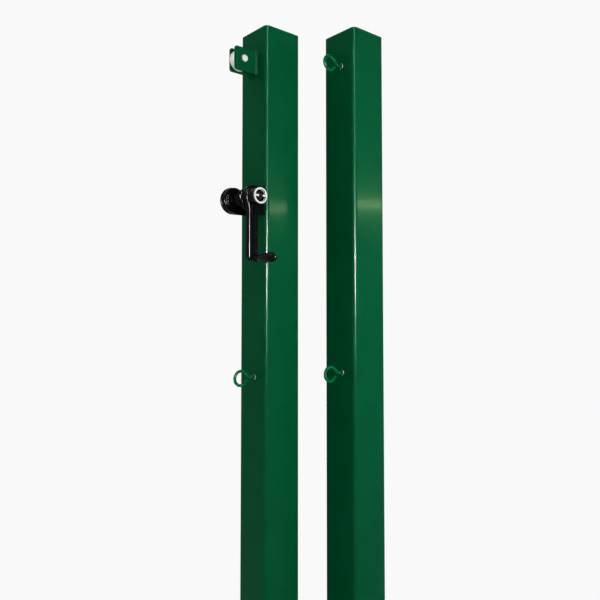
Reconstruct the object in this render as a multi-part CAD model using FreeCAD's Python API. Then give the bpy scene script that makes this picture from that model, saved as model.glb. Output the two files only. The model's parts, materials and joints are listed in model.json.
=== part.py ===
import FreeCAD, Part
import math
import os

os.makedirs("parts", exist_ok=True)

# A pair of square net posts, one with a cable wheel and a hand winch.
# Millimetres, +Z up. The origin is the middle of the winch post's foot. The net's fittings are on the
# posts' -X faces, and the winch's axis runs along Y, with its crank beside the winch post's -Y face.

# Clearances
fit_gap = 0.05             # radial, between pieces assembled together
run_gap = 0.06             # radial, between a turning piece and its journal
side_gap = 0.3             # along the axis, between pieces that turn against each other

# Posts
post_side = 120.0
post_wall = 5.0
post_corner = 12.0         # outer corner radius
post_length = 2850.0       # from the foot's underside to the top
pair_shift_x = 188.0       # from the winch post to the plain post
pair_shift_y = -148.0
cap_thickness = 5.0
plug_flange = 4.0
plug_depth = 30.0          # above the flange, inside the tube
plug_skirt = 4.0
plug_corner = 3.0          # inner corner radius of the skirt

# Threaded inserts in the posts' walls
insert_wall = 1.45
insert_lip = 1.75          # how far the lip stands out past the sleeve
insert_lip_thickness = 1.2
insert_length = 17.0

# Eyes, each one bent bar with a lock nut
eye_bar = 8.0              # bar diameter
eye_ring = 19.0            # ring radius at the bar's middle
eye_reach = 44.4           # from the face to the ring's centre
eye_bend = 10.0            # bend radius where the shank turns up towards the ring
eye_rise = 41.0            # degrees between the shank and the bar's two straight stretches
eye_tail = 10.0            # length of the straight free end
eye_shank_inside = 22.0    # shank past the face, inside the tube
eye_offset = -10.0         # along Y from the middle of the face
winch_post_eye_drop = 957.0    # below the post's top
upper_eye_drop = 99.0
lower_eye_drop = 947.0
eye_nut_across = 13.0
eye_nut_height = 6.5

# Cable wheel
wheel_radius = 28.0
wheel_width = 17.0
wheel_rim_depth = 8.5      # from the outside to the web
wheel_web = 8.0            # web thickness
wheel_hub_wall = 5.0
wheel_edge = 0.8           # bevel of the rim's outer edges
web_slope = 1.5            # radial run of the web's sloped sides
groove_depth = 7.0
groove_round = 4.0         # radius of the groove's floor
groove_flank = 20.0        # degrees between flank and radius
wheel_bush_wall = 1.0

# Wheel bracket and axle
bracket_thickness = 5.0
bracket_reach = 70.0
bracket_height = 65.0
bracket_corner = 7.0
bracket_drop = 61.0        # from the post's top to the plates' upper edge
axle_reach = 44.5          # from the face to the axle's middle
axle_drop = 94.0           # from the post's top to the axle's middle
axle_diameter = 12.0
axle_head_across = 18.0
axle_head_height = 7.5
axle_tail = 3.0            # past the nut
axle_nut_height = 12.0
axle_washer_radius = 12.0
axle_washer_thickness = 2.5
collar_radius = 13.5
collar_thickness = 3.0
side_washer_radius = 12.0
side_washer_thickness = 0.7

# Winch frame
winch_drop = 479.0         # from the post's top to the winch's axis
winch_reach = 51.0         # from the face to the winch's axis
near_inner_y = -46.0       # inner face of the near plate
near_thickness = 8.0
near_round = 38.0          # radius of the near plate's round end
near_round_x = 16.5        # its centre, from the axis towards the face
near_round_z = -3.0        # its centre, above the axis
far_thickness = 6.0
far_round = 36.5
far_top = 8.0              # far plate's top at the base plate, above the axis
base_thickness = 6.0
base_above = 34.0          # base plate's top above the axis
base_below = 35.0
bush_wall = 3.0
bush_lip = 3.0
bush_lip_thickness = 2.0

# Winch fixings
bolt_diameter = 8.0
bolt_head_across = 13.0
bolt_head_height = 5.3
bolt_length = 25.0
bolt_near = 18.0           # from the near plate to the first pair
bolt_pitch_y = 29.0
bolt_pitch_z = 44.0
bolt_hole_gap = 0.5
bolt_washer_radius = 8.0
bolt_washer_thickness = 1.6

# Shaft and drum
shaft_diameter = 16.0
shaft_square = 12.0
shaft_tail = 2.9           # past the end ring
stud_diameter = 10.0
near_flange_radius = 26.0
near_flange_width = 3.0
barrel_radius = 17.0
barrel_width = 40.7        # with its cone
cone_width = 10.0
neck_radius = 19.5
neck_width = 8.0
far_flange_radius = 35.0
far_flange_width = 9.0
ridge_height = 1.5
ridge_width = 2.5
ridge_radii = (23.0, 28.0, 33.0)
key_width = 5.0
key_height = 5.0
key_length = 30.0
key_depth = 3.0            # in the shaft
key_start = 10.0           # from the drum's near end
clamp_diameter = 6.0
clamp_hold = 5.0           # room for the cable under the screw's head
clamp_depth = 7.0          # in the barrel
clamp_head_across = 10.0
clamp_head_height = 4.0
clamp_from_neck = 9.0

# Ratchet and pawl
tooth_count = 12
tooth_tip = 22.0
tooth_root = 18.0
ratchet_width = 6.0
face_angle = 70.0          # of the tooth face that holds, from +X
ratchet_screw_count = 3
ratchet_screw_diameter = 4.0
ratchet_screw_head = 7.0
ratchet_screw_circle = 13.0
ratchet_screw_length = 14.0
pawl_x = 30.7              # pivot from the winch's axis
pawl_z = 11.2
pawl_boss = 6.0
pawl_pin_diameter = 6.0
pawl_pin_head = 5.0
pawl_pin_head_height = 1.5
pawl_gap = 0.5             # to the tooth face
pawl_bite = 0.8            # tip's height over the tooth root
pawl_nose = 4.7            # length of the tip's face
pawl_heel_gap = 0.8        # over the tip of the next tooth

# Shaft's far end
end_washer_radius = 13.0
end_washer_thickness = 2.0
end_ring_radius = 12.0
end_ring_thickness = 1.5
end_ring_groove = 1.0

# Crank
spacer_wall = 4.0
spacer_length = 5.7
crank_thickness = 14.0
crank_width = 29.5
crank_hub = 24.0
crank_flare = 60.0         # radius between hub and arm
crank_length = 161.5       # from the axis to the arm's end
crank_corner = 4.0
crank_edge = 3.0           # rounding of the front edges
channel_width = 17.5
channel_depth = 3.0
channel_start = 40.0       # below the axis
channel_to_end = 13.5      # from the channel's foot to the arm's end
gusset_width = 4.0
gusset_height = 14.0       # above the arm's front
gusset_end = 48.0          # below the axis
boss_radius = 21.3
boss_height = 25.0         # above the arm's front
boss_recess_radius = 17.0
boss_recess = 8.0
crank_washer_radius = 12.0
crank_washer_thickness = 2.0
crank_nut_across = 17.0
crank_nut_height = 6.4
stud_end = 1.6             # past the nut

# Chrome ring on the crank's boss
ring_radius = 21.8
ring_height = 5.3
ring_hole = 16.6
ring_edge = 1.2
spigot_depth = 5.0
spigot_wall = 2.0
ring_bar_height = 5.0
ring_bar_thickness = 3.0
ring_bar_hole = 6.0        # free radius between the two bars

# Knob
spindle_from_end = 0.5     # from the arm's end up to the spindle
spindle_diameter = 8.0
spindle_boss_radius = 9.0
spindle_boss_height = 11.5 # above the arm's front
spindle_length = 66.0      # inside the knob
spindle_head_radius = 5.0
spindle_head_length = 3.0
knob_washer_radius = 6.5
knob_washer_thickness = 1.5
knob_length = 83.0
knob_radius = 12.2
knob_neck = 5.5            # radius at the washer
knob_chamfer = 0.7
knob_chamfer_length = 4.0
knob_swell_end = 54.0      # where the knob is widest
knob_swell_mid = 22.0
knob_mid_radius = 9.9

# For picking edges
same_place = 0.01          # two places closer than this are one

# Worked out from the sizes above
face_x = -post_side / 2
inner_side = post_side - 2 * post_wall
inner_corner = post_corner - post_wall
axle_x = face_x - axle_reach
axle_z = post_length - axle_drop
bracket_half_gap = wheel_width / 2 + side_gap + side_washer_thickness
bracket_outer_y = bracket_half_gap + bracket_thickness
winch_x = face_x - winch_reach
winch_z = post_length - winch_drop
shaft_radius = shaft_diameter / 2
ratchet_near_y = near_inner_y + side_gap
drum_near_y = ratchet_near_y + ratchet_width
barrel_start_y = drum_near_y + near_flange_width
neck_start_y = barrel_start_y + barrel_width
far_face_y = neck_start_y + neck_width
drum_far_y = far_face_y + far_flange_width
far_inner_y = drum_far_y + side_gap + bush_lip_thickness
far_outer_y = far_inner_y + far_thickness
near_outer_y = near_inner_y - near_thickness
lip_near_y = near_outer_y - bush_lip_thickness
crank_rear_y = lip_near_y - side_gap - spacer_length
crank_front_y = crank_rear_y - crank_thickness
boss_front_y = crank_front_y - boss_height
recess_floor_y = boss_front_y + boss_recess
crank_nut_rear_y = recess_floor_y - crank_washer_thickness
crank_nut_front_y = crank_nut_rear_y - crank_nut_height
spindle_z = winch_z - crank_length + spindle_from_end
spindle_boss_front_y = crank_front_y - spindle_boss_height
knob_rear_y = spindle_boss_front_y - knob_washer_thickness - side_gap
base_x = face_x - base_thickness
ellipse_handle = 0.5523    # handle length that makes a cubic curve a quarter of an ellipse


def at(x, y, z):
    return FreeCAD.Vector(x, y, z)


along_x = at(1, 0, 0)
along_y = at(0, 1, 0)
along_z = at(0, 0, 1)


def block(x, y, z):
    """A box, from its two limits along each axis."""
    return Part.makeBox(x[1] - x[0], y[1] - y[0], z[1] - z[0], at(x[0], y[0], z[0]))


def rod(radius, start, end):
    """A cylinder between two points."""
    way = end - start
    return Part.makeCylinder(radius, way.Length, start, way)


def tube(outer, inner, start, end):
    return rod(outer, start, end).cut(rod(inner, start, end))


def hexagon(across, start, end):
    """A hexagonal prism between two points, two of its corners up and down."""
    radius = across / math.sqrt(3)
    way = end - start
    side = way.cross(along_z).normalize()
    sides = 6
    corners = []
    for step in range(sides):
        turn = 2 * math.pi * step / sides
        corners.append(start + along_z * (radius * math.cos(turn)) + side * (radius * math.sin(turn)))
    return Part.Face(Part.makePolygon(corners + corners[:1])).extrude(way)


def prism(points, push):
    return Part.Face(Part.makePolygon(points + points[:1])).extrude(push)


def outline(start, steps):
    """A closed wire. A step is (end,) for a line, (through, end) for an arc, or (handle, handle, end)."""
    edges = []
    here = start
    for step in steps:
        end = step[-1]
        if len(step) == 1:
            edges.append(Part.LineSegment(here, end).toShape())
        elif len(step) == 2:
            edges.append(Part.Arc(here, step[0], end).toShape())
        else:
            curve = Part.BezierCurve()
            curve.setPoles([here, *step])
            edges.append(curve.toShape())
        here = end
    edges.append(Part.LineSegment(here, start).toShape())
    return Part.Wire(edges)


def turned(x, z, start, steps):
    """A solid of revolution about the line along Y through x, z, from points (y, radius)."""
    def place(pair):
        return at(x, pair[0], z + pair[1])
    placed = [tuple(place(pair) for pair in step) for step in steps]
    return Part.Face(outline(place(start), placed)).revolve(at(x, 0, z), along_y, 360)


def soften(solid, radius, wanted):
    """Round the edges that wanted(edge) names."""
    return solid.makeFillet(radius, [edge for edge in solid.Edges if wanted(edge)])


def runs_along(edge, axis):
    if not isinstance(edge.Curve, Part.Line):
        return False
    return edge.Curve.Direction.cross(axis).Length < same_place


def square_bar(side, corner, low, high):
    """An upright bar with rounded corners on the origin's axis."""
    bar = block((-side / 2, side / 2), (-side / 2, side / 2), (low, high))
    return soften(bar, corner, lambda edge: runs_along(edge, along_z))


def save(name, *pieces):
    shape = pieces[0] if len(pieces) == 1 else Part.makeCompound(list(pieces))
    shape.exportStep("parts/" + name + ".step")


def sleeve_radius(thread_diameter):
    return thread_diameter / 2 + fit_gap + insert_wall


def insert(thread_diameter, y, z):
    """A threaded sleeve through the -X wall, its lip on the outside."""
    radius = sleeve_radius(thread_diameter)
    sleeve = rod(radius, at(face_x, y, z), at(face_x + insert_length, y, z))
    lip = rod(radius + insert_lip, at(face_x - insert_lip_thickness, y, z), at(face_x, y, z))
    bore = rod(thread_diameter / 2 + fit_gap, at(face_x - insert_lip_thickness, y, z),
               at(face_x + insert_length, y, z))
    return sleeve.fuse(lip).cut(bore).removeSplitter()


def wall_hole(thread_diameter, y, z):
    radius = sleeve_radius(thread_diameter) + fit_gap
    return rod(radius, at(face_x, y, z), at(face_x + post_wall, y, z))


# Places of the winch's bolts on the face
base_middle_z = winch_z + (base_above - base_below) / 2
bolt_places = []
for bolt_y in (near_inner_y + bolt_near, near_inner_y + bolt_near + bolt_pitch_y):
    for bolt_z in (base_middle_z - bolt_pitch_z / 2, base_middle_z + bolt_pitch_z / 2):
        bolt_places.append((bolt_y, bolt_z))
winch_post_eye_z = post_length - winch_post_eye_drop
upper_eye_z = post_length - upper_eye_drop
lower_eye_z = post_length - lower_eye_drop
pair_shift = at(pair_shift_x, pair_shift_y, 0)


def moved(shape, way):
    copy = shape.copy()
    copy.translate(way)
    return copy


# Posts

def post_tube(holes):
    outside = square_bar(post_side, post_corner, plug_flange, post_length)
    inside = square_bar(inner_side, inner_corner, plug_flange, post_length)
    return outside.cut(inside).cut(Part.makeCompound(holes))


def top_cap():
    return square_bar(inner_side - 2 * fit_gap, inner_corner, post_length - cap_thickness, post_length)


def foot_plug():
    flange = square_bar(post_side, post_corner, 0, plug_flange)
    skirt_side = inner_side - 2 * fit_gap
    skirt = square_bar(skirt_side, inner_corner, plug_flange, plug_flange + plug_depth)
    hollow = square_bar(skirt_side - 2 * plug_skirt, plug_corner, plug_flange, plug_flange + plug_depth)
    return flange.fuse(skirt.cut(hollow)).removeSplitter()


winch_post_holes = [wall_hole(bolt_diameter, y, z) for y, z in bolt_places]
winch_post_holes.append(wall_hole(eye_bar, eye_offset, winch_post_eye_z))
plain_post_holes = [wall_hole(eye_bar, eye_offset, z) for z in (upper_eye_z, lower_eye_z)]
save("winch_post_tube", post_tube(winch_post_holes))
save("winch_post_top_cap", top_cap())
save("winch_post_foot_plug", foot_plug())
save("plain_post_tube", moved(post_tube(plain_post_holes), pair_shift))
save("plain_post_top_cap", moved(top_cap(), pair_shift))
save("plain_post_foot_plug", moved(foot_plug(), pair_shift))


# Eyes

def eye(z):
    """A bar that leaves the face, rises into a ring and comes back up to end below its own shank."""
    middle_x = face_x - eye_reach
    rise = math.radians(eye_rise)
    bend_x = middle_x + eye_ring / math.sin(rise) + eye_bend * math.tan(rise / 2)
    ring_start = math.pi / 2 - rise
    ring_end = 2 * math.pi - ring_start

    def on_ring(angle):
        return at(middle_x + eye_ring * math.cos(angle), eye_offset, z + eye_ring * math.sin(angle))

    def on_bend(angle):
        return at(bend_x - eye_bend * math.sin(angle), eye_offset, z + eye_bend - eye_bend * math.cos(angle))

    shank_start = at(face_x + eye_shank_inside, eye_offset, z)
    tail_end = on_ring(ring_end) + at(math.cos(rise), 0, math.sin(rise)) * eye_tail
    path = Part.Wire([
        Part.LineSegment(shank_start, on_bend(0)).toShape(),
        Part.Arc(on_bend(0), on_bend(rise / 2), on_bend(rise)).toShape(),
        Part.LineSegment(on_bend(rise), on_ring(ring_start)).toShape(),
        Part.Arc(on_ring(ring_start), on_ring(math.pi), on_ring(ring_end)).toShape(),
        Part.LineSegment(on_ring(ring_end), tail_end).toShape(),
    ])
    section = Part.Wire([Part.makeCircle(eye_bar / 2, shank_start, along_x)])
    return path.makePipeShell([section], True, False)


def eye_lock_nut(z):
    start = at(face_x - insert_lip_thickness, eye_offset, z)
    end = start - along_x * eye_nut_height
    return hexagon(eye_nut_across, start, end).cut(rod(eye_bar / 2 + fit_gap, start, end))


save("winch_post_eye", eye(winch_post_eye_z))
save("plain_post_upper_eye", moved(eye(upper_eye_z), pair_shift))
save("plain_post_lower_eye", moved(eye(lower_eye_z), pair_shift))
save("eye_inserts", insert(eye_bar, eye_offset, winch_post_eye_z),
     moved(insert(eye_bar, eye_offset, upper_eye_z), pair_shift),
     moved(insert(eye_bar, eye_offset, lower_eye_z), pair_shift))
save("eye_lock_nuts", eye_lock_nut(winch_post_eye_z),
     moved(eye_lock_nut(upper_eye_z), pair_shift),
     moved(eye_lock_nut(lower_eye_z), pair_shift))


# Wheel bracket, axle and cable wheel

def on_axle(y):
    return at(axle_x, y, axle_z)


axle_radius = axle_diameter / 2
plate_bore = rod(axle_radius + fit_gap, on_axle(-bracket_outer_y), on_axle(bracket_outer_y))


def bracket_plate(low_y, high_y):
    outer_x = face_x - bracket_reach
    top = post_length - bracket_drop
    plate = block((outer_x, face_x), (low_y, high_y), (top - bracket_height, top))
    plate = soften(plate, bracket_corner,
                   lambda edge: runs_along(edge, along_y) and edge.CenterOfMass.x < outer_x + same_place)
    return plate.cut(plate_bore)


def axle_bolt():
    head_rear = -bracket_outer_y - collar_thickness
    tail = bracket_outer_y + axle_washer_thickness + axle_nut_height + axle_tail
    head = hexagon(axle_head_across, on_axle(head_rear - axle_head_height), on_axle(head_rear))
    return head.fuse(rod(axle_radius, on_axle(head_rear), on_axle(tail))).removeSplitter()


def axle_nut():
    start = on_axle(bracket_outer_y + axle_washer_thickness)
    end = on_axle(bracket_outer_y + axle_washer_thickness + axle_nut_height)
    return hexagon(axle_head_across, start, end).cut(rod(axle_radius + fit_gap, start, end))


def side_washer(start_y, end_y):
    return tube(side_washer_radius, axle_radius + fit_gap, on_axle(start_y), on_axle(end_y))


wheel_bush_inner = axle_radius + run_gap
wheel_bush_outer = wheel_bush_inner + wheel_bush_wall


def cable_wheel():
    """A grooved rim on a thinner web round a full-width hub."""
    half = wheel_width / 2
    web_half = wheel_web / 2
    bore = wheel_bush_outer + fit_gap
    hub = bore + wheel_hub_wall
    rim_inner = wheel_radius - wheel_rim_depth
    flank = math.radians(groove_flank)
    floor = wheel_radius - groove_depth
    round_middle = floor + groove_round
    foot_y = groove_round * math.cos(flank)
    foot_r = round_middle - groove_round * math.sin(flank)
    mouth_y = foot_y + (wheel_radius - foot_r) * math.tan(flank)
    steps = [
        ((-half, hub),),
        ((-web_half, hub + web_slope),),
        ((-web_half, rim_inner - web_slope),),
        ((-half, rim_inner),),
        ((-half, wheel_radius - wheel_edge),),
        ((-half + wheel_edge, wheel_radius),),
        ((-mouth_y, wheel_radius),),
        ((-foot_y, foot_r),),
        ((0, floor), (foot_y, foot_r)),
        ((mouth_y, wheel_radius),),
        ((half - wheel_edge, wheel_radius),),
        ((half, wheel_radius - wheel_edge),),
        ((half, rim_inner),),
        ((web_half, rim_inner - web_slope),),
        ((web_half, hub + web_slope),),
        ((half, hub),),
        ((half, bore),),
    ]
    return turned(axle_x, axle_z, (-half, bore), steps)


def cable_wheel_bush():
    return tube(wheel_bush_outer, wheel_bush_inner, on_axle(-wheel_width / 2), on_axle(wheel_width / 2))


save("bracket_front_plate", bracket_plate(-bracket_outer_y, -bracket_half_gap))
save("bracket_rear_plate", bracket_plate(bracket_half_gap, bracket_outer_y))
save("wheel_axle_bolt", axle_bolt())
save("wheel_axle_collar", tube(collar_radius, axle_radius + fit_gap,
                               on_axle(-bracket_outer_y - collar_thickness), on_axle(-bracket_outer_y)))
save("wheel_axle_washer", tube(axle_washer_radius, axle_radius + fit_gap, on_axle(bracket_outer_y),
                               on_axle(bracket_outer_y + axle_washer_thickness)))
save("wheel_axle_nut", axle_nut())
save("wheel_side_washers", side_washer(-bracket_half_gap, -bracket_half_gap + side_washer_thickness),
     side_washer(bracket_half_gap - side_washer_thickness, bracket_half_gap))
save("cable_wheel", cable_wheel())
save("cable_wheel_bush", cable_wheel_bush())


# Winch frame

def on_axis(y):
    return at(winch_x, y, winch_z)


def from_axis(x, y, z):
    return at(winch_x + x, y, winch_z + z)


bush_inner = shaft_radius + run_gap
bush_outer = bush_inner + bush_wall
bush_bore = bush_outer + fit_gap
pin_radius = pawl_pin_diameter / 2


def near_plate():
    """A plate with a half-round outer end, square to the post's face."""
    middle_x = near_round_x
    top = near_round_z + near_round
    bottom = near_round_z - near_round
    start = from_axis(winch_reach, near_outer_y, bottom)
    steps = [
        (from_axis(winch_reach, near_outer_y, top),),
        (from_axis(middle_x, near_outer_y, top),),
        (from_axis(middle_x - near_round, near_outer_y, near_round_z),
         from_axis(middle_x, near_outer_y, bottom)),
    ]
    plate = Part.Face(outline(start, steps)).extrude(along_y * near_thickness)
    pin_hole = rod(pin_radius + fit_gap, from_axis(pawl_x, near_outer_y, pawl_z),
                   from_axis(pawl_x, near_inner_y, pawl_z))
    return plate.cut(rod(bush_bore, on_axis(near_outer_y), on_axis(near_inner_y))).cut(pin_hole)


def far_plate():
    """Round about the axis, level below, and sloping down to the base plate above."""
    reach = winch_reach - base_thickness
    distance = math.hypot(reach, far_top)
    touch = math.atan2(far_top, reach) + math.acos(far_round / distance)
    round_mid = (touch + math.pi * 1.5) / 2
    start = from_axis(reach, far_inner_y, -far_round)
    steps = [
        (from_axis(reach, far_inner_y, far_top),),
        (from_axis(far_round * math.cos(touch), far_inner_y, far_round * math.sin(touch)),),
        (from_axis(far_round * math.cos(round_mid), far_inner_y, far_round * math.sin(round_mid)),
         from_axis(0, far_inner_y, -far_round)),
    ]
    plate = Part.Face(outline(start, steps)).extrude(along_y * far_thickness)
    return plate.cut(rod(bush_bore, on_axis(far_inner_y), on_axis(far_outer_y)))


def base_plate():
    """Bolted flat on the face, with room behind it for the inserts' lips."""
    low = winch_z - base_below
    high = winch_z + base_above
    plate = block((base_x, face_x), (near_inner_y, far_outer_y), (low, high))
    lip_radius = sleeve_radius(bolt_diameter) + insert_lip + side_gap
    lip_depth = insert_lip_thickness + fit_gap
    for y, z in bolt_places:
        plate = plate.cut(rod(bolt_diameter / 2 + bolt_hole_gap, at(base_x, y, z), at(face_x, y, z)))
        plate = plate.cut(rod(lip_radius, at(face_x - lip_depth, y, z), at(face_x, y, z)))
    return plate


def near_bush():
    lip = rod(bush_outer + bush_lip, on_axis(lip_near_y), on_axis(near_outer_y))
    body = rod(bush_outer, on_axis(near_outer_y), on_axis(near_inner_y))
    return lip.fuse(body).cut(rod(bush_inner, on_axis(lip_near_y), on_axis(near_inner_y))).removeSplitter()


def far_bush():
    lip = rod(bush_outer + bush_lip, on_axis(far_inner_y - bush_lip_thickness), on_axis(far_inner_y))
    body = rod(bush_outer, on_axis(far_inner_y), on_axis(far_outer_y))
    bore = rod(bush_inner, on_axis(far_inner_y - bush_lip_thickness), on_axis(far_outer_y))
    return lip.fuse(body).cut(bore).removeSplitter()


washer_top_x = base_x - bolt_washer_thickness


def winch_bolt(y, z):
    head_start = at(washer_top_x, y, z)
    head = hexagon(bolt_head_across, at(washer_top_x - bolt_head_height, y, z), head_start)
    shank = rod(bolt_diameter / 2, head_start, at(washer_top_x + bolt_length, y, z))
    return head.fuse(shank).removeSplitter()


def bolt_washer(y, z):
    return tube(bolt_washer_radius, bolt_diameter / 2 + fit_gap, at(washer_top_x, y, z), at(base_x, y, z))


pawl_front_y = near_inner_y + side_gap
pawl_rear_y = drum_near_y - side_gap


def pawl_pin():
    head_y = pawl_rear_y + side_gap
    shank = rod(pin_radius, from_axis(pawl_x, near_outer_y, pawl_z), from_axis(pawl_x, head_y, pawl_z))
    head = rod(pawl_pin_head, from_axis(pawl_x, head_y, pawl_z),
               from_axis(pawl_x, head_y + pawl_pin_head_height, pawl_z))
    return shank.fuse(head).removeSplitter()


save("winch_base_plate", base_plate())
save("winch_near_plate", near_plate())
save("winch_far_plate", far_plate())
save("winch_near_bush", near_bush())
save("winch_far_bush", far_bush())
save("winch_bolts", *[winch_bolt(y, z) for y, z in bolt_places])
save("winch_bolt_washers", *[bolt_washer(y, z) for y, z in bolt_places])
save("winch_inserts", *[insert(bolt_diameter, y, z) for y, z in bolt_places])
save("pawl_pin", pawl_pin())


# Shaft, drum and ratchet

shaft_bore = shaft_radius + fit_gap
end_washer_y = far_outer_y + side_gap
end_ring_y = end_washer_y + end_washer_thickness
shaft_end_y = end_ring_y + end_ring_thickness + shaft_tail
key_near_y = drum_near_y + key_start
key_bottom = shaft_radius - key_depth
key_top = key_bottom + key_height


def shaft():
    """Round in its bushes, square in the crank's hub, then a threaded stud."""
    journal = rod(shaft_radius, on_axis(crank_rear_y), on_axis(shaft_end_y))
    square_end_y = recess_floor_y + side_gap
    half = shaft_square / 2
    square = block((winch_x - half, winch_x + half), (square_end_y, crank_rear_y),
                   (winch_z - half, winch_z + half))
    square = square.common(rod(shaft_radius, on_axis(square_end_y), on_axis(crank_rear_y)))
    stud = rod(stud_diameter / 2, on_axis(crank_nut_front_y - stud_end), on_axis(square_end_y))
    whole = journal.fuse(square).fuse(stud).removeSplitter()
    groove = tube(shaft_radius + end_ring_groove, shaft_radius - end_ring_groove, on_axis(end_ring_y),
                  on_axis(end_ring_y + end_ring_thickness + fit_gap))
    key_seat = block((winch_x - key_width / 2 - fit_gap, winch_x + key_width / 2 + fit_gap),
                     (key_near_y, key_near_y + key_length),
                     (winch_z + key_bottom, winch_z + shaft_radius + fit_gap))
    return whole.cut(groove).cut(key_seat)


def key():
    return block((winch_x - key_width / 2, winch_x + key_width / 2), (key_near_y, key_near_y + key_length),
                 (winch_z + key_bottom, winch_z + key_top))


clamp_y = neck_start_y - clamp_from_neck
ratchet_screw_places = []
for number in range(ratchet_screw_count):
    screw_turn = math.radians(360 * number / ratchet_screw_count - 90)
    ratchet_screw_places.append((ratchet_screw_circle * math.cos(screw_turn),
                                 ratchet_screw_circle * math.sin(screw_turn)))


def drum():
    """Near flange, cone, barrel, neck and a thick far flange with ridges on its inner face."""
    steps = [
        ((drum_near_y, near_flange_radius),),
        ((barrel_start_y, near_flange_radius),),
        ((barrel_start_y + cone_width, barrel_radius),),
        ((neck_start_y, barrel_radius),),
        ((neck_start_y, neck_radius),),
        ((far_face_y, neck_radius),),
    ]
    for ridge in ridge_radii:
        steps.append(((far_face_y, ridge - ridge_width / 2),))
        steps.append(((far_face_y - ridge_height, ridge), (far_face_y, ridge + ridge_width / 2)))
    steps.append(((far_face_y, far_flange_radius),))
    steps.append(((drum_far_y, far_flange_radius),))
    steps.append(((drum_far_y, shaft_bore),))
    whole = turned(winch_x, winch_z, (drum_near_y, shaft_bore), steps)
    key_way = block((winch_x - key_width / 2 - fit_gap, winch_x + key_width / 2 + fit_gap),
                    (drum_near_y, key_near_y + key_length + side_gap),
                    (winch_z, winch_z + key_top + fit_gap))
    clamp_hole = rod(clamp_diameter / 2 + fit_gap, from_axis(barrel_radius - clamp_depth, clamp_y, 0),
                     from_axis(barrel_radius + clamp_hold, clamp_y, 0))
    whole = whole.cut(key_way).cut(clamp_hole)
    for x, z in ratchet_screw_places:
        whole = whole.cut(rod(ratchet_screw_diameter / 2 + fit_gap, from_axis(x, drum_near_y, z),
                              from_axis(x, ratchet_near_y + ratchet_screw_length, z)))
    return whole


def clamp_screw():
    """A hex screw in the barrel. The cable's end loop goes under its head."""
    head_start = from_axis(barrel_radius + clamp_hold, clamp_y, 0)
    head = hexagon(clamp_head_across, head_start, head_start + along_x * clamp_head_height)
    shank = rod(clamp_diameter / 2, from_axis(barrel_radius - clamp_depth, clamp_y, 0), head_start)
    return head.fuse(shank).removeSplitter()


def countersunk(radius, head_radius, x, z):
    """A countersunk screw's outline from the ratchet wheel's near face."""
    shank = rod(radius, from_axis(x, ratchet_near_y, z),
                from_axis(x, ratchet_near_y + ratchet_screw_length, z))
    cone = Part.makeCone(head_radius, radius, head_radius - radius, from_axis(x, ratchet_near_y, z), along_y)
    return cone.fuse(shank).removeSplitter()


def ratchet_screw(x, z):
    return countersunk(ratchet_screw_diameter / 2, ratchet_screw_head / 2, x, z)


def ratchet_wheel():
    """Saw teeth whose steep faces hold against the pawl."""
    points = []
    for tooth in range(tooth_count):
        angle = math.radians(face_angle + 360 * tooth / tooth_count)
        for radius in (tooth_root, tooth_tip):
            points.append(from_axis(radius * math.cos(angle), ratchet_near_y, radius * math.sin(angle)))
    wheel = prism(points, along_y * ratchet_width)
    wheel = wheel.cut(rod(shaft_bore, on_axis(ratchet_near_y), on_axis(drum_near_y)))
    for x, z in ratchet_screw_places:
        wheel = wheel.cut(countersunk(ratchet_screw_diameter / 2 + fit_gap,
                                      ratchet_screw_head / 2 + fit_gap, x, z))
    return wheel


def pawl():
    """A boss on its pin with a nose that drops in front of a tooth's steep face."""
    angle = math.radians(face_angle)
    out_x = math.cos(angle)
    out_z = math.sin(angle)
    low = tooth_root + pawl_bite
    high = low + pawl_nose
    nose_low = (low * out_x + pawl_gap * out_z, low * out_z - pawl_gap * out_x)
    nose_high = (high * out_x + pawl_gap * out_z, high * out_z - pawl_gap * out_x)
    next_tooth = math.radians(face_angle - 360 / tooth_count)
    heel_radius = tooth_tip + pawl_heel_gap
    heel = (heel_radius * math.cos(next_tooth), heel_radius * math.sin(next_tooth))
    corners = [nose_low, heel, (pawl_x, pawl_z - pawl_boss), (pawl_x, pawl_z + pawl_boss), nose_high]
    width = along_y * (pawl_rear_y - pawl_front_y)
    arm = prism([from_axis(x, pawl_front_y, z) for x, z in corners], width)
    start = from_axis(pawl_x, pawl_front_y, pawl_z)
    whole = arm.fuse(rod(pawl_boss, start, start + width)).removeSplitter()
    return whole.cut(rod(pin_radius + run_gap, start, start + width))


save("winch_shaft", shaft())
save("drum_key", key())
save("winding_drum", drum())
save("cable_clamp_screw", clamp_screw())
save("ratchet_wheel", ratchet_wheel())
save("ratchet_screws", *[ratchet_screw(x, z) for x, z in ratchet_screw_places])
save("ratchet_pawl", pawl())
save("shaft_end_washer", tube(end_washer_radius, shaft_bore, on_axis(end_washer_y), on_axis(end_ring_y)))
save("shaft_end_ring", tube(end_ring_radius, shaft_radius - end_ring_groove + fit_gap, on_axis(end_ring_y),
                            on_axis(end_ring_y + end_ring_thickness)))


# Crank, chrome ring and knob

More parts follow.
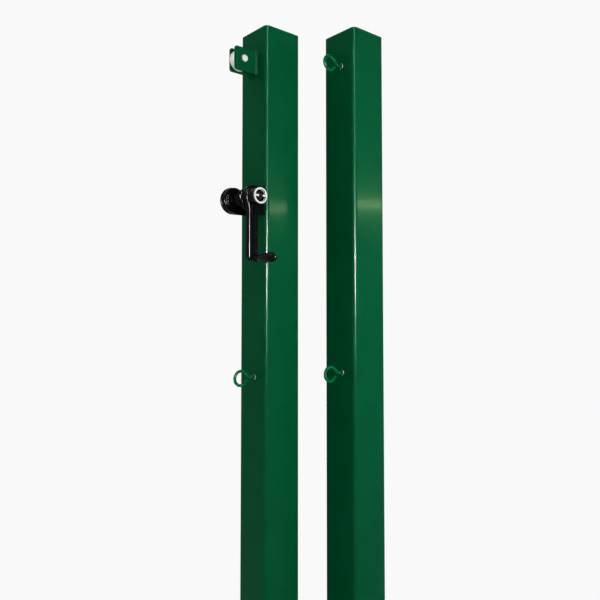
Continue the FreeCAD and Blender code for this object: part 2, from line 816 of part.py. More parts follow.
def crank():
    """A flared arm with a channelled front, a boss for the nut and a small boss for the spindle."""
    half = crank_width / 2
    flare_x = half + crank_flare
    flare_z = -math.sqrt((crank_hub + crank_flare) ** 2 - flare_x ** 2)
    share = crank_hub / (crank_hub + crank_flare)
    half_turn = math.atan2(-flare_z, flare_x) / 2

    def front(x, z):
        return from_axis(x, crank_front_y, z)

    def flare(side):
        return front(side * (flare_x - crank_flare * math.cos(half_turn)),
                     flare_z + crank_flare * math.sin(half_turn))

    def hub_point(side):
        return front(side * flare_x * share, flare_z * share)

    steps = [
        (front(half, -crank_length),),
        (front(half, flare_z),),
        (flare(1), hub_point(1)),
        (front(0, crank_hub), hub_point(-1)),
        (flare(-1), front(-half, flare_z)),
    ]
    arm = Part.Face(outline(front(-half, -crank_length), steps)).extrude(along_y * crank_thickness)
    low_z = winch_z - crank_length
    arm = soften(arm, crank_corner,
                 lambda edge: runs_along(edge, along_y) and edge.CenterOfMass.z < low_z + same_place)
    arm = soften(arm, crank_edge,
                 lambda edge: edge.BoundBox.YMax < crank_front_y + same_place)
    channel = block((winch_x - channel_width / 2, winch_x + channel_width / 2),
                    (crank_front_y, crank_front_y + channel_depth),
                    (winch_z - crank_length + channel_to_end, winch_z - channel_start))
    arm = arm.cut(soften(channel, channel_depth, lambda edge: runs_along(edge, along_y)))
    boss = rod(boss_radius, on_axis(boss_front_y), on_axis(crank_rear_y))
    spindle_boss = rod(spindle_boss_radius, at(winch_x, spindle_boss_front_y, spindle_z),
                       at(winch_x, crank_rear_y, spindle_z))
    gusset = prism([
        from_axis(-gusset_width / 2, crank_front_y + channel_depth, -boss_radius / 2),
        from_axis(-gusset_width / 2, crank_front_y - gusset_height, -boss_radius / 2),
        from_axis(-gusset_width / 2, crank_front_y - gusset_height, -boss_radius),
        from_axis(-gusset_width / 2, crank_front_y, -gusset_end),
        from_axis(-gusset_width / 2, crank_front_y + channel_depth, -gusset_end),
    ], along_x * gusset_width)
    whole = arm.fuse(boss).fuse(spindle_boss).fuse(gusset).removeSplitter()
    hole = shaft_square / 2 + fit_gap
    square_hole = block((winch_x - hole, winch_x + hole), (recess_floor_y, crank_rear_y),
                        (winch_z - hole, winch_z + hole))
    recess = rod(boss_recess_radius, on_axis(boss_front_y), on_axis(recess_floor_y))
    spindle_hole = rod(spindle_diameter / 2 + fit_gap, at(winch_x, spindle_boss_front_y, spindle_z),
                       at(winch_x, crank_rear_y, spindle_z))
    return whole.cut(square_hole).cut(recess).cut(spindle_hole)


def crank_nut():
    start = on_axis(crank_nut_front_y)
    end = on_axis(crank_nut_rear_y)
    return hexagon(crank_nut_across, start, end).cut(rod(stud_diameter / 2 + fit_gap, start, end))


def end_ring():
    """A bright ring pressed into the boss, with two bars that leave the middle open."""
    front_y = boss_front_y - ring_height
    spigot_outer = boss_recess_radius - fit_gap
    spigot_inner = spigot_outer - spigot_wall
    steps = [
        ((boss_front_y, ring_radius),),
        ((front_y + ring_edge, ring_radius),),
        ((front_y, ring_radius - ring_edge),),
        ((front_y, ring_hole),),
        ((boss_front_y - spigot_wall, ring_hole),),
        ((boss_front_y - spigot_wall / 2, spigot_inner),),
        ((boss_front_y + spigot_depth, spigot_inner),),
        ((boss_front_y + spigot_depth, spigot_outer),),
    ]
    ring = turned(winch_x, winch_z, (boss_front_y, spigot_outer), steps)
    half = ring_bar_height / 2
    for side in (-1, 1):
        ends = sorted((side * ring_bar_hole, side * (ring_hole + ring_edge)))
        ring = ring.fuse(block((winch_x + ends[0], winch_x + ends[1]),
                               (front_y, front_y + ring_bar_thickness), (winch_z - half, winch_z + half)))
    return ring.removeSplitter()


def knob_spindle():
    head_start_y = knob_rear_y - spindle_length
    shank = rod(spindle_diameter / 2, at(winch_x, head_start_y, spindle_z), at(winch_x, crank_rear_y, spindle_z))
    head = rod(spindle_head_radius, at(winch_x, head_start_y, spindle_z),
               at(winch_x, head_start_y + spindle_head_length, spindle_z))
    return shank.fuse(head).removeSplitter()


def knob():
    """An oval grip, bored for its spindle with a chamber round the spindle's head."""
    def along(length):
        return knob_rear_y - length

    tip = knob_length - knob_swell_end
    body = turned(winch_x, spindle_z, (along(0), 0), [
        ((along(0), knob_neck),),
        ((along(knob_chamfer_length), knob_neck + knob_chamfer),),
        ((along(knob_swell_mid), knob_mid_radius), (along(knob_swell_end), knob_radius)),
        ((along(knob_swell_end + ellipse_handle * tip), knob_radius),
         (along(knob_length), ellipse_handle * knob_radius), (along(knob_length), 0)),
    ])
    bore = rod(spindle_diameter / 2 + run_gap, at(winch_x, along(spindle_length), spindle_z),
               at(winch_x, along(0), spindle_z))
    chamber = rod(spindle_head_radius + side_gap, at(winch_x, along(spindle_length + side_gap), spindle_z),
                  at(winch_x, along(spindle_length - spindle_head_length - side_gap), spindle_z))
    return body.cut(bore).cut(chamber)


save("crank_spacer", tube(shaft_bore + spacer_wall, shaft_bore, on_axis(crank_rear_y),
                          on_axis(crank_rear_y + spacer_length)))
save("crank_arm", crank())
save("crank_washer", tube(crank_washer_radius, stud_diameter / 2 + fit_gap, on_axis(crank_nut_rear_y),
                          on_axis(recess_floor_y)))
save("crank_nut", crank_nut())
save("crank_end_ring", end_ring())
save("knob_spindle", knob_spindle())
save("knob_washer", tube(knob_washer_radius, spindle_diameter / 2 + fit_gap,
                         at(winch_x, spindle_boss_front_y - knob_washer_thickness, spindle_z),
                         at(winch_x, spindle_boss_front_y, spindle_z)))
save("crank_knob", knob())
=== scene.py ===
import json
import math
import random

import bmesh
import bpy
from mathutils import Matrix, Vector

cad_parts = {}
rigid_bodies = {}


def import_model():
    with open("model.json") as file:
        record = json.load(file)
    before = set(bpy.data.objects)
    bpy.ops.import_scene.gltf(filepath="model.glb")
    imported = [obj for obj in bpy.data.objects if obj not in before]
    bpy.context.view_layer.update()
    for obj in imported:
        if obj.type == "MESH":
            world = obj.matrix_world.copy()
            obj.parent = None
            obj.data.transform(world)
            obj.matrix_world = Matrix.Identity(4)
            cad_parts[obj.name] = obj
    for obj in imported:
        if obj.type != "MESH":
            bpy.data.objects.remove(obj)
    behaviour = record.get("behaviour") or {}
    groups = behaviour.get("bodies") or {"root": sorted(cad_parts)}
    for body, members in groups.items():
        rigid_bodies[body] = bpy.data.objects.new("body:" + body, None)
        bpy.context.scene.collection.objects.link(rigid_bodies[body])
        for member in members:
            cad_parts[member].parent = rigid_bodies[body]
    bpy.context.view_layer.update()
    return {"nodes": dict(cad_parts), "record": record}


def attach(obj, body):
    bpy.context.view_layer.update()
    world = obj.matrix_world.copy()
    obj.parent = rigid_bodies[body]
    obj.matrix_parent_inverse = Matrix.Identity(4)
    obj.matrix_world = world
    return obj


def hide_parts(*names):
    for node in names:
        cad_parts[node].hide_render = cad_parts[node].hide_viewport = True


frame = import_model()
nodes = frame["nodes"]

# Posts, bracket and winch frame, in millimetres in the row frame, as in the part's source
mm = 0.001
face_x = -60.0             # the winch post's -X face
near_face_y = -60.0        # its -Y face
post_top = 2850.0
plate_top = 2789.0         # the bracket's plates
plate_bottom = 2724.0
plate_outer_y = 14.5       # their outer faces, either side of Y 0
base_x = -66.0             # outer face of the winch's base plate
base_low = 2336.0
base_high = 2405.0
near_inner_y = -46.0       # inner faces of the winch's side plates
far_inner_y = 23.3

# Fasteners, in millimetres, with widths across the flats
axle_x = -104.5
axle_z = 2756.0
axle_radius = 6.0
axle_across = 18.0         # head and nut
axle_head_y = -25.0        # outer face of the head
axle_head_height = 7.5
axle_length = 57.0         # with the head
axle_thread = 17.0
axle_pitch = 1.75
axle_nut_y = 17.0
axle_nut_height = 12.0
axle_nut_hole = 6.05
bolt_head_x = -72.9        # outer face of the winch bolts' heads
bolt_places_y = (-28.0, 1.0)
bolt_places_z = (2348.5, 2392.5)
bolt_radius = 4.0
bolt_across = 13.0
bolt_head_height = 5.3
bolt_length = 30.3         # with the head
bolt_thread = 17.0
bolt_pitch = 1.25
eye_nut_places = ((-67.7, -10.0, 1893.0), (120.3, -158.0, 2751.0), (120.3, -158.0, 1903.0))
eye_nut_height = 6.5
eye_nut_across = 13.0
eye_nut_hole = 4.05
winch_x = -111.0
winch_z = 2371.0
crank_nut_y = -101.4       # its outer face
crank_nut_height = 6.4
crank_nut_across = 17.0
crank_nut_hole = 5.05
along_x = (1, 0, 0)
along_y = (0, 1, 0)

# Form of heads, nuts and threads
points_around = 72
end_face = 0.475           # radius of a hexagon's round end face, as a share of its width
chamfer_angle = 30.0       # degrees
chamfer_shares = (0, 0.2, 0.4, 0.6, 0.8, 1)
hole_lead = 0.5            # mm, chamfer at the ends of a nut's hole
thread_depth = 0.6         # as a share of the pitch
thread_rows = 8            # rows of points to a turn of the thread
thread_end_slope = 0.8     # how fast a bolt's last turn narrows

# Weld beads
bracket_leg = 5.5          # mm
bracket_past = 3.0         # mm past the plates' corners
bracket_seed = 11
winch_leg = 3.6            # mm
winch_seed = 41
ripple_pitch = 0.0026      # m
ripple_rows = 6            # rows of points to a ripple
ripple_sizes = (0.92, 1.06)    # least and largest share of the leg, drawn for each ripple
ripple_lead = 0.0011       # m, how far each row's middle runs ahead of its edges
scallop_low = 0.84         # least share of the size, between ripples
lump_pitch = 0.0124        # m
lump_low = 0.86            # least share, between lumps
bulge_low = 0.86           # least share, halfway round the fillet
end_low = 0.55             # least share, at the bead's ends
arc_steps = 8

# Edges
edge_round = 0.0005        # m, where the next lines give no other
edge_rounds = {
    "bracket_front_plate": 0.0012,
    "bracket_rear_plate": 0.0012,
    "winch_near_plate": 0.0010,
    "winch_far_plate": 0.0010,
    "winch_base_plate": 0.0008,
    "wheel_axle_collar": 0.0008,
    "crank_arm": 0.0006,
    "winding_drum": 0.0004,
    "crank_end_ring": 0.0003,
}
edge_segments = 2
edge_angle = 35.0          # degrees, from which an edge is sharp
flat_angle = 0.5           # degrees, up to which faces are one
weld_distance = 0.000002   # m, between points that are one

# Depths of fine relief, as shares
wave_depth = 3             # of the orange peel's depth
fine_depth = 0.12          # of the orange peel's depth
mark_depth = 0.03          # of the drawn marks' width

# Camera, from the photograph's vanishing points
camera_yaw = 40.5          # degrees from +Y towards +X
camera_pitch = 2.529       # degrees above level
picture_width = 600.0      # px
focal_length = 585.99      # px
axis_y = 262.76            # px from the top, where the lens axis lands
sensor_width = 36.0        # mm
eye_right = 0.09161        # m from the winch post's near top corner
eye_back = 1.56334
eye_down = 0.71827

# Floor, background and lamps, in metres and watts
background = 0.947         # linear, the photograph's pale grey white
room_light = 0.7           # linear, what lights the object from all round
floor_middle = (0.09, -0.07, -0.001)
floor_radius = 2.3
floor_fade = 1.1           # how far in from the rim the fade begins
floor_grey = 0.86
middle_x = 0.05            # between the posts
middle_y = -0.1
lamp_distance = 1.6        # of the key and gloss lamps, from the middle
lamp_rise = 0.14           # above the camera
key_turn = 40.0            # degrees about the middle, from the camera towards its right
key_target = (0.05, -0.05, 2.15)
gloss_turn = 9.0           # degrees, as for the key
column_rise = 0.55         # above the other gloss lamps
strip_turn = 0.04          # radians from where the -Y faces mirror the camera's own line
strip_distance = 4.0
strip_height = 2.91
strip_target_height = 2.4
rear_lamps = (
    ("rear_left", (-1.2, 1.6, 5.2), (0, 0, 2.0)),
    ("rear_right", (2.0, 1.2, 5.0), (0.1, 0, 2.0)),
)
white = (1, 1, 1)
column_green = (0.25, 1.0, 0.6)
strip_yellow_green = (0.70, 1.0, 0.45)


# Small tools

def on_body(made, body, finish):
    """Put a new piece on its body and give it its finish."""
    made.data.materials.append(finish)
    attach(made, body)


def mesh_piece(name, shape):
    """An object from a bmesh in metres."""
    bmesh.ops.recalc_face_normals(shape, faces=shape.faces)
    data = bpy.data.meshes.new(name)
    shape.to_mesh(data)
    shape.free()
    made = bpy.data.objects.new(name, data)
    bpy.context.scene.collection.objects.link(made)
    return made


def smooth(made, angle):
    """Smooth shading with sharp edges over an angle in degrees."""
    data = made.data
    data.shade_smooth()
    data.set_sharp_from_angle(angle=math.radians(angle))


def join_rings(shape, one, two):
    """Faces between two rings with the same number of points."""
    for place in range(len(one)):
        after = (place + 1) % len(one)
        shape.faces.new((one[place], one[after], two[after], two[place]))


def close_ends(shape, rings):
    """A face over the first ring and one over the last."""
    shape.faces.new(rings[0])
    shape.faces.new(list(reversed(rings[-1])))


def from_low(low, value):
    """From low to 1 as the value goes from 0 to 1."""
    return low + (1 - low) * value


# Materials

def principled(name, colour, roughness, metallic=0.0, specular=0.5, coat=0.0, coat_roughness=0.05):
    """A new material and its shader, with what is the same all over set on the shader itself."""
    made = bpy.data.materials.new(name)
    made.use_nodes = True
    shader = made.node_tree.nodes["Principled BSDF"]
    shader.inputs["Base Color"].default_value = (*colour, 1)
    shader.inputs["Roughness"].default_value = roughness
    shader.inputs["Metallic"].default_value = metallic
    shader.inputs["Specular IOR Level"].default_value = specular
    shader.inputs["Coat Weight"].default_value = coat
    shader.inputs["Coat Roughness"].default_value = coat_roughness
    return made, shader


def noise_value(made, size, detail, stretch=(1, 1, 1)):
    """Noise whose features are about size metres across, in the piece's own space."""
    tree = made.node_tree
    place = tree.nodes.new("ShaderNodeTexCoord")
    mapping = tree.nodes.new("ShaderNodeMapping")
    mapping.inputs["Scale"].default_value = stretch
    noise = tree.nodes.new("ShaderNodeTexNoise")
    noise.inputs["Scale"].default_value = 1 / size
    noise.inputs["Detail"].default_value = detail
    tree.links.new(place.outputs["Object"], mapping.inputs["Vector"])
    tree.links.new(mapping.outputs["Vector"], noise.inputs["Vector"])
    return noise.outputs["Fac"]


def spread(made, value, low, high, start=0.3, end=0.7):
    """A value from low to high as the input goes from start to end."""
    span = made.node_tree.nodes.new("ShaderNodeMapRange")
    span.inputs["From Min"].default_value = start
    span.inputs["From Max"].default_value = end
    span.inputs["To Min"].default_value = low
    span.inputs["To Max"].default_value = high
    made.node_tree.links.new(value, span.inputs["Value"])
    return span.outputs["Result"]


def mixed(made, value, first, second):
    """A colour between two, by a value from 0 to 1. Either may be a socket."""
    mix = made.node_tree.nodes.new("ShaderNodeMix")
    mix.data_type = "RGBA"
    for socket, colour in ((mix.inputs["A"], first), (mix.inputs["B"], second)):
        if isinstance(colour, bpy.types.NodeSocket):
            made.node_tree.links.new(colour, socket)
        else:
            socket.default_value = (*colour, 1)
    made.node_tree.links.new(value, mix.inputs["Factor"])
    return mix.outputs["Result"]


def bump(made, value, depth, before=None):
    """A bump of that depth in metres, over another one where given."""
    node = made.node_tree.nodes.new("ShaderNodeBump")
    node.inputs["Distance"].default_value = depth
    made.node_tree.links.new(value, node.inputs["Height"])
    if before is not None:
        made.node_tree.links.new(before, node.inputs["Normal"])
    return node.outputs["Normal"]


def scaled(colour, share):
    """The same colour, darker or lighter."""
    return tuple(part * share for part in colour)


def powder_coat(name, colour, specular, coat, peel_depth):
    """Glossy powder coat with orange peel, slow shade changes, fine specks and an uneven gloss."""
    made, shader = principled(name, colour, roughness=0.2, specular=specular, coat=coat)
    tree = made.node_tree
    shade = spread(made, noise_value(made, size=0.09, detail=5.0), low=0.0, high=1.0)
    colours = mixed(made, shade, scaled(colour, share=0.93), scaled(colour, share=1.07))
    dots = noise_value(made, size=0.0011, detail=2.0)
    speck = spread(made, dots, low=0.0, high=1.0, start=0.62, end=0.72)
    tree.links.new(mixed(made, speck, colours, scaled(colour, share=1.25)), shader.inputs["Base Color"])
    gloss = spread(made, noise_value(made, size=0.03, detail=4.0), low=0.18, high=0.24)
    tree.links.new(gloss, shader.inputs["Roughness"])
    long_waves = noise_value(made, size=0.028, detail=2.0, stretch=(1, 1, 0.45))
    dimples = noise_value(made, size=0.0035, detail=1.5)
    grains = noise_value(made, size=0.0009, detail=2.0)
    wave = bump(made, long_waves, depth=peel_depth * wave_depth)
    peel = bump(made, dimples, depth=peel_depth, before=wave)
    fine = bump(made, grains, depth=peel_depth * fine_depth, before=peel)
    tree.links.new(peel, shader.inputs["Normal"])
    tree.links.new(fine, shader.inputs["Coat Normal"])
    return made


def plated(name, colour, roughness, grain):
    """Metal with fine drawn marks, grain metres across, and a cloudy film."""
    made, shader = principled(name, colour, roughness, metallic=1.0)
    tree = made.node_tree
    cloud = spread(made, noise_value(made, size=0.006, detail=4.0), low=0.0, high=1.0)
    tree.links.new(mixed(made, cloud, scaled(colour, share=0.86), colour), shader.inputs["Base Color"])
    film = noise_value(made, size=0.002, detail=5.0)
    gloss = spread(made, film, low=roughness * 0.75, high=roughness * 1.35)
    tree.links.new(gloss, shader.inputs["Roughness"])
    marks = noise_value(made, size=grain, detail=3.0, stretch=(1, 0.15, 1))
    tree.links.new(bump(made, marks, depth=grain * mark_depth), shader.inputs["Normal"])
    return made


def paint_dark_reflection_on_sides(made, dark):
    """Paint a dark reflection on all but the faces towards -Y, by darkening their colour."""
    tree = made.node_tree
    shader = tree.nodes["Principled BSDF"]
    bright = shader.inputs["Base Color"].links[0].from_socket
    place = tree.nodes.new("ShaderNodeTexCoord")
    parts = tree.nodes.new("ShaderNodeSeparateXYZ")
    tree.links.new(place.outputs["Normal"], parts.inputs["Vector"])
    # Painted dark reflection: the colour goes dark where the surface turns away from -Y.
    facing = spread(made, parts.outputs["Y"], low=1.0, high=0.0, start=-0.95, end=-0.6)
    tree.links.new(mixed(made, facing, dark, bright), shader.inputs["Base Color"])
    return made


def moulded(name, colour, roughness, specular, coat, grain_depth):
    """Moulded plastic with a faint grain and flow marks."""
    made, shader = principled(name, colour, roughness, specular=specular, coat=coat, coat_roughness=0.08)
    tree = made.node_tree
    flow = spread(made, noise_value(made, size=0.012, detail=4.0, stretch=(1, 0.3, 1)), low=0.0, high=1.0)
    colours = mixed(made, flow, scaled(colour, share=0.92), scaled(colour, share=1.04))
    tree.links.new(colours, shader.inputs["Base Color"])
    film = noise_value(made, size=0.004, detail=4.0)
    gloss = spread(made, film, low=roughness * 0.85, high=roughness * 1.2)
    tree.links.new(gloss, shader.inputs["Roughness"])
    grain = noise_value(made, size=0.0008, detail=3.0)
    tree.links.new(bump(made, grain, depth=grain_depth), shader.inputs["Normal"])
    return made


finishes = {
    # A lighter copy of the green coat for the eyes: painted light, not another paint.
    "green_bar_painted_lighter": powder_coat("green_powder_coat_painted_lighter_on_bar", colour=(0.0008, 0.0980, 0.0370),
                             specular=0.010, coat=0.015, peel_depth=0.00002),
    "green_coat": powder_coat("green_powder_coat", colour=(0.0003, 0.0620, 0.0215),
                              specular=0.008, coat=0.015, peel_depth=0.00005),
    "black_coat": powder_coat("black_powder_coat", colour=(0.0016, 0.0018, 0.0024),
                              specular=0.015, coat=0.015, peel_depth=0.00002),
    "zinc": plated("bright_zinc", colour=(0.80, 0.81, 0.83), roughness=0.22, grain=0.0012),
    # The chrome ring's sides get a painted dark reflection; only its face towards -Y stays bright.
    "bright_chrome": paint_dark_reflection_on_sides(plated("bright_chrome", colour=(0.93, 0.93, 0.94),
                                          roughness=0.08, grain=0.0008), dark=(0.06, 0.06, 0.065)),
    "bronze": plated("bearing_bronze", colour=(0.62, 0.40, 0.19), roughness=0.32, grain=0.001),
    "white_nylon": moulded("white_nylon", colour=(0.90, 0.90, 0.88), roughness=0.38,
                           specular=0.2, coat=0.0, grain_depth=0.00001),
    "black_plastic": moulded("black_knob_plastic", colour=(0.0020, 0.0022, 0.0030), roughness=0.2,
                             specular=0.01, coat=0.08, grain_depth=0.000005),
    "plug_plastic": moulded("black_plug_plastic", colour=(0.012, 0.012, 0.013), roughness=0.5,
                            specular=0.1, coat=0.0, grain_depth=0.00003),
    # Blackened steel; its darkness also stands in as painted shade where these pieces sit in recesses.
    "blackened_as_shade": plated("blackened_steel_as_shade", colour=(0.02, 0.02, 0.022), roughness=0.5, grain=0.0012),
}


# Finishes and edges of the frame's own pieces, which keep their shape

slot_of_node = {part["node"]: part["material_slot"] for part in frame["record"]["subparts"]}
# Blackened steel; it also paints shade on these pieces, which sit in the crank's recesses.
shade_darkened_nodes = ("winch_shaft", "crank_nut", "crank_washer", "knob_washer", "knob_spindle")
# The eyes take a lighter green, which is painted light.
eye_nodes = ("winch_post_eye", "plain_post_upper_eye", "plain_post_lower_eye")
curved = ("crank_arm", "winding_drum", "crank_end_ring") + eye_nodes
own_edges = ("crank_knob", "cable_wheel")


def finish_of(node):
    """The finish of the node's slot, apart from two groups shown in another: blackened steel that also
    paints shade, and a lighter green that paints light on the eyes.
    """
    if node in shade_darkened_nodes:
        return finishes["blackened_as_shade"]
    if node in eye_nodes:
        return finishes["green_bar_painted_lighter"]
    return finishes[slot_of_node[node]]


def round_edges(made, width, join_flat):
    """Round the sharp edges, with flat faces joined first where asked. The mesh itself stays as it is."""
    weld = made.modifiers.new("weld", "WELD")
    weld.merge_threshold = weld_distance
    if join_flat:
        flat = made.modifiers.new("flat", "DECIMATE")
        flat.decimate_type = "DISSOLVE"
        flat.angle_limit = math.radians(flat_angle)
    bevel = made.modifiers.new("bevel", "BEVEL")
    bevel.width = width
    bevel.segments = edge_segments
    bevel.limit_method = "ANGLE"
    bevel.angle_limit = math.radians(edge_angle)
    bevel.use_clamp_overlap = True
    made.modifiers.new("normals", "WEIGHTED_NORMAL")


for name, made in nodes.items():
    for place in made.material_slots:
        place.material = finish_of(name)
    if name not in own_edges:
        round_edges(made, edge_rounds.get(name, edge_round), name not in curved)


# Fasteners, with chamfered hexagons and cut threads

def round_at(radius):
    """The same radius at every angle."""
    return lambda turn: radius


def hexagon_at(across, limit):
    """A hexagon's radius by angle, up to a limit."""
    return lambda turn: min(limit, across / 2 / math.cos(turn % (math.pi / 3) - math.pi / 6))


def thread_at(along, radius, pitch, limit):
    """A cut thread's radius by angle, up to a limit, at a distance along the bolt."""
    depth = thread_depth * pitch

    def cut_at(turn):
        place = (along / pitch - turn / math.tau) % 1
        return min(limit, radius - depth * (1 - abs(2 * place - 1)))

    return cut_at


def hexagon_rows(height, across, both_ends):
    """The outside of a head from its outer face on, or of a nut with both ends chamfered. Each row is a
    distance along the axis and a function from angle to radius."""
    flat = end_face * across
    point = across / math.sqrt(3)
    cut = (point - flat) * math.tan(math.radians(chamfer_angle))
    rows = [(share * cut, hexagon_at(across, flat + (point - flat) * share)) for share in chamfer_shares]
    if both_ends:
        rows += [(height - along, radius) for along, radius in reversed(rows)]
    else:
        rows.append((height, hexagon_at(across, across)))
    return rows


def bolt_rows(head_height, across, radius, length, threaded, pitch):
    """Head, shank and thread. Length runs from the head's outer face to the end."""
    rows = hexagon_rows(head_height, across, both_ends=False)
    start = length - threaded
    rows.append((head_height, round_at(radius)))
    rows.append((start, round_at(radius)))
    count = round(threaded / pitch * thread_rows)
    for step in range(1, count + 1):
        along = start + threaded * step / count
        limit = radius - max(0, along - (length - pitch)) * thread_end_slope
        rows.append((along, thread_at(along, radius, pitch, limit)))
    return rows


def nut_rows(height, across, hole):
    """The outside of a nut, then its hole on the way back."""
    rows = hexagon_rows(height, across, both_ends=True)
    rows.append((height, round_at(hole + hole_lead)))
    rows.append((height - hole_lead, round_at(hole)))
    rows.append((hole_lead, round_at(hole)))
    rows.append((0, round_at(hole + hole_lead)))
    return rows


def add_turned(shape, origin, way, rows, hollow):
    """Add a closed surface about an axis. A hollow one has its last row joined to its first."""
    origin = Vector(origin)
    way = Vector(way)
    up = Vector((0, 0, 1))
    side = way.cross(up)
    rings = []
    for along, radius in rows:
        ring = []
        for step in range(points_around):
            turn = math.tau * step / points_around
            reach = radius(turn)
            point = origin + way * along + up * (reach * math.cos(turn)) + side * (reach * math.sin(turn))
            ring.append(shape.verts.new(point * mm))
        rings.append(ring)
    if not hollow:
        close_ends(shape, rings)
    for one, two in zip(rings, rings[1:]):
        join_rings(shape, one, two)
    if hollow:
        join_rings(shape, rings[-1], rings[0])


def fastener(node, body, way, origins, rows, hollow=False):
    """The detailed form of a fastener node, at one or more places."""
    shape = bmesh.new()
    for origin in origins:
        add_turned(shape, origin, way, rows, hollow)
    made = mesh_piece(node + "_cut", shape)
    smooth(made, angle=30)
    on_body(made, body, finish_of(node))
    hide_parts(node)


bolt_places = [(bolt_head_x, y, z) for y in bolt_places_y for z in bolt_places_z]
fastener("wheel_axle_bolt", "posts", along_y, [(axle_x, axle_head_y, axle_z)],
         bolt_rows(axle_head_height, axle_across, axle_radius, axle_length, axle_thread, axle_pitch))
fastener("wheel_axle_nut", "posts", along_y, [(axle_x, axle_nut_y, axle_z)],
         nut_rows(axle_nut_height, axle_across, axle_nut_hole), hollow=True)
fastener("winch_bolts", "posts", along_x, bolt_places,
         bolt_rows(bolt_head_height, bolt_across, bolt_radius, bolt_length, bolt_thread, bolt_pitch))
fastener("eye_lock_nuts", "posts", along_x, eye_nut_places,
         nut_rows(eye_nut_height, eye_nut_across, eye_nut_hole), hollow=True)
fastener("crank_nut", "rotor", along_y, [(winch_x, crank_nut_y, winch_z)],
         nut_rows(crank_nut_height, crank_nut_across, crank_nut_hole), hollow=True)


# Weld beads

def weld_bead(name, x, y, low, high, side, leg, seed, slot_name):
    """An upright rippled fillet in the corner of a face at x and a face at y. Side is its way along Y."""
    marks = random.Random(seed)
    start = Vector((x, y, low)) * mm
    way = Vector((x, y, high)) * mm - start
    outward = Vector((-1, 0, 0))
    sideways = Vector((0, side, 0))
    count = round(way.length / ripple_pitch)
    sizes = [leg * mm * marks.uniform(*ripple_sizes) for ripple in range(count + 1)]
    total = count * ripple_rows
    shape = bmesh.new()
    rings = []
    for step in range(total + 1):
        done = step / total
        ripple = min(step // ripple_rows, count - 1)
        share = step / ripple_rows - ripple
        size = sizes[ripple] * (1 - share) + sizes[ripple + 1] * share
        lump = from_low(lump_low, (1 + math.cos(math.tau * way.length * done / lump_pitch)) / 2)
        scallop = from_low(scallop_low, math.sin(math.pi * share)) * lump
        taper = min(1.0, from_low(end_low, min(step, total - step) / ripple_rows))
        ring = [shape.verts.new(start + way * done)]
        for arc in range(arc_steps + 1):
            turn = math.pi / 2 * arc / arc_steps
            bulge = from_low(bulge_low, abs(math.cos(2 * turn)))
            reach = size * taper * bulge * (1 - (1 - scallop) * math.sin(2 * turn))
            lead = ripple_lead * math.sin(2 * turn) * (1 - done) if step > 0 else 0
            point = start + way.normalized() * (way.length * done + lead)
            point += outward * (reach * math.cos(turn)) + sideways * (reach * math.sin(turn))
            ring.append(shape.verts.new(point))
        rings.append(ring)
    for one, two in zip(rings, rings[1:]):
        join_rings(shape, one, two)
    close_ends(shape, rings)
    made = mesh_piece(name, shape)
    smooth(made, angle=50)
    on_body(made, "posts", finishes[slot_name])


for label, outer, side in (("front", -plate_outer_y, -1), ("rear", plate_outer_y, 1)):
    weld_bead("weld_" + label, face_x, outer, plate_bottom - bracket_past, plate_top + bracket_past,
              side, bracket_leg, bracket_seed + side, "green_coat")
for label, inner, side in (("near", near_inner_y, 1), ("far", far_inner_y, -1)):
    weld_bead("weld_winch_" + label, base_x, inner, base_low, base_high,
              side, winch_leg, winch_seed + side, "black_coat")


# Floor and world

def floor():
    """A pale disc whose rim fades into the background."""
    shape = bmesh.new()
    bmesh.ops.create_circle(shape, cap_ends=True, cap_tris=False, segments=128, radius=floor_radius)
    made = mesh_piece("floor", shape)
    made.location = floor_middle
    grey = (floor_grey, floor_grey, floor_grey)
    finish, shader = principled("pale_floor", grey, roughness=0.6, specular=0.2)
    tree = finish.node_tree
    place = tree.nodes.new("ShaderNodeTexCoord")
    length = tree.nodes.new("ShaderNodeVectorMath")
    length.operation = "LENGTH"
    tree.links.new(place.outputs["Object"], length.inputs[0])
    fade = tree.nodes.new("ShaderNodeMapRange")
    fade.interpolation_type = "SMOOTHSTEP"
    fade.inputs["From Min"].default_value = floor_radius - floor_fade
    fade.inputs["From Max"].default_value = floor_radius
    tree.links.new(length.outputs["Value"], fade.inputs["Value"])
    clear = tree.nodes.new("ShaderNodeBsdfTransparent")
    mix = tree.nodes.new("ShaderNodeMixShader")
    tree.links.new(fade.outputs["Result"], mix.inputs["Fac"])
    tree.links.new(shader.outputs["BSDF"], mix.inputs[1])
    tree.links.new(clear.outputs["BSDF"], mix.inputs[2])
    tree.links.new(mix.outputs["Shader"], tree.nodes["Material Output"].inputs["Surface"])
    made.data.materials.append(finish)


def world():
    """A plain grey level that lights the object, and the white background that is seen and reflected."""
    made = bpy.data.worlds.new("studio")
    bpy.context.scene.world = made
    made.use_nodes = True
    tree = made.node_tree
    light = tree.nodes["Background"]
    light.inputs["Color"].default_value = (room_light, room_light, room_light, 1)
    pale = tree.nodes.new("ShaderNodeBackground")
    pale.inputs["Color"].default_value = (background, background, background, 1)
    path = tree.nodes.new("ShaderNodeLightPath")
    seen = path.outputs["Is Camera Ray"]
    for ray in ("Is Glossy Ray", "Is Transmission Ray"):
        either = tree.nodes.new("ShaderNodeMath")
        either.operation = "MAXIMUM"
        tree.links.new(seen, either.inputs[0])
        tree.links.new(path.outputs[ray], either.inputs[1])
        seen = either.outputs["Value"]
    mix = tree.nodes.new("ShaderNodeMixShader")
    tree.links.new(seen, mix.inputs["Fac"])
    tree.links.new(light.outputs["Background"], mix.inputs[1])
    tree.links.new(pale.outputs["Background"], mix.inputs[2])
    tree.links.new(mix.outputs["Shader"], tree.nodes["World Output"].inputs["Surface"])


# Camera and lamps

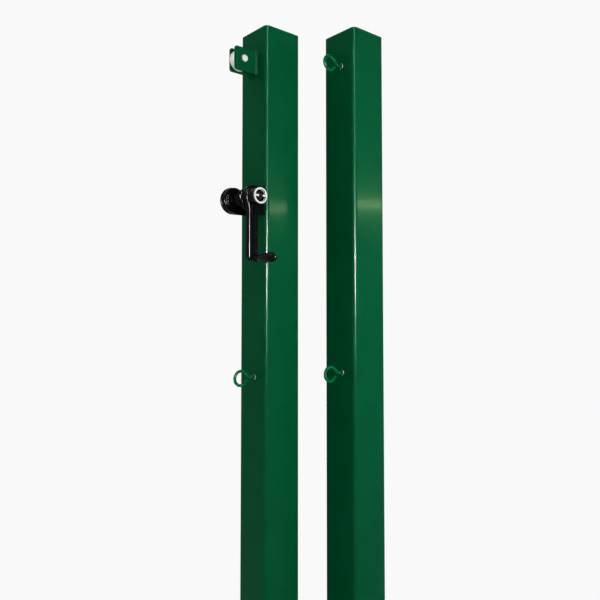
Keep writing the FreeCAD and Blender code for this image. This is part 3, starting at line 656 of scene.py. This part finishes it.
yaw = math.radians(camera_yaw)
to_right = Vector((math.cos(yaw), -math.sin(yaw), 0))
away = Vector((math.sin(yaw), math.cos(yaw), 0))
corner = Vector((face_x, near_face_y, post_top)) * mm
eye = corner + to_right * eye_right - away * eye_back - Vector((0, 0, eye_down))
middle = Vector((middle_x, middle_y, eye.z + lamp_rise))


def camera():
    """The photograph's view. The shift puts the lens axis where the vanishing points do."""
    data = bpy.data.cameras.new("camera")
    data.sensor_width = sensor_width
    data.lens = sensor_width * focal_length / picture_width
    data.shift_y = (axis_y - picture_width / 2) / picture_width
    made = bpy.data.objects.new("camera", data)
    made.location = eye
    made.rotation_euler = (math.radians(90 + camera_pitch), 0, -yaw)
    bpy.context.scene.collection.objects.link(made)
    bpy.context.scene.camera = made


def pieces_with(name, *wanted):
    """A collection of the pieces that have one of these finishes, for lamps that show on them alone."""
    group = bpy.data.collections.new(name)
    for made in bpy.context.scene.objects:
        if any(place.material in wanted for place in made.material_slots):
            group.objects.link(made)
    return group


def softbox(name, place, target, width, height, power, colour=white, receivers=None):
    """An area lamp. With receivers it shows as gloss alone, and on those pieces alone."""
    data = bpy.data.lights.new(name, "AREA")
    data.shape = "RECTANGLE"
    data.size = width
    data.size_y = height
    data.energy = power
    data.color = colour
    made = bpy.data.objects.new(name, data)
    made.location = place
    made.rotation_euler = (Vector(target) - Vector(place)).to_track_quat("-Z", "Y").to_euler()
    made.visible_camera = False
    if receivers is not None:
        made.visible_diffuse = False
        made.light_linking.receiver_collection = receivers
    bpy.context.scene.collection.objects.link(made)


def gloss_lamp(name, place, width, height, power, receivers, colour=white):
    """An upright lamp that faces the posts' middle and shows as gloss on the receivers alone."""
    back = Vector((place.x - middle.x, place.y - middle.y, 0)).normalized()
    softbox(name, place, place - back, width, height, power, colour, receivers)


def lamp_place(turn):
    """A place beside the camera, turned about the posts' middle."""
    side = yaw - math.radians(turn)
    return middle + Vector((-math.sin(side), -math.cos(side), 0)) * lamp_distance


def strip_place():
    """Where the -Y faces mirror a level line from the camera, a little turned, at the strip's height."""
    side = yaw + strip_turn
    mirrored = Vector((math.sin(side), -math.cos(side), 0))
    return Vector((middle_x, middle_y, strip_height)) + mirrored * strip_distance


def lights():
    """A key lamp, upright gloss lamps by the camera, a strip for the -Y faces, and two lamps behind."""
    softbox("key", lamp_place(key_turn), key_target, width=0.14, height=0.14, power=20)
    green = pieces_with("green", finishes["green_coat"], finishes["green_bar_painted_lighter"])
    black = pieces_with("black", finishes["black_coat"], finishes["black_plastic"])
    spark = lamp_place(gloss_turn)
    gloss_lamp("spark_on_green", spark, width=0.14, height=0.4, power=900, receivers=green)
    gloss_lamp("spark_on_black", spark, width=0.14, height=0.4, power=1100, receivers=black)
    column = spark + Vector((0, 0, column_rise))
    gloss_lamp("column_on_green", column, width=0.1, height=2.1, power=610, receivers=green,
               colour=column_green)
    gloss_lamp("column_on_black", column, width=0.1, height=2.1, power=700, receivers=black)
    strip_target = (middle_x, middle_y, strip_target_height)
    softbox("strip", strip_place(), strip_target, width=1.9, height=0.09, power=75, receivers=green,
            colour=strip_yellow_green)
    for name, place, target in rear_lamps:
        softbox(name, place, target, width=1.4, height=1.4, power=30)


floor()
world()
camera()
lights()
bpy.context.scene.view_settings.view_transform = "Standard"
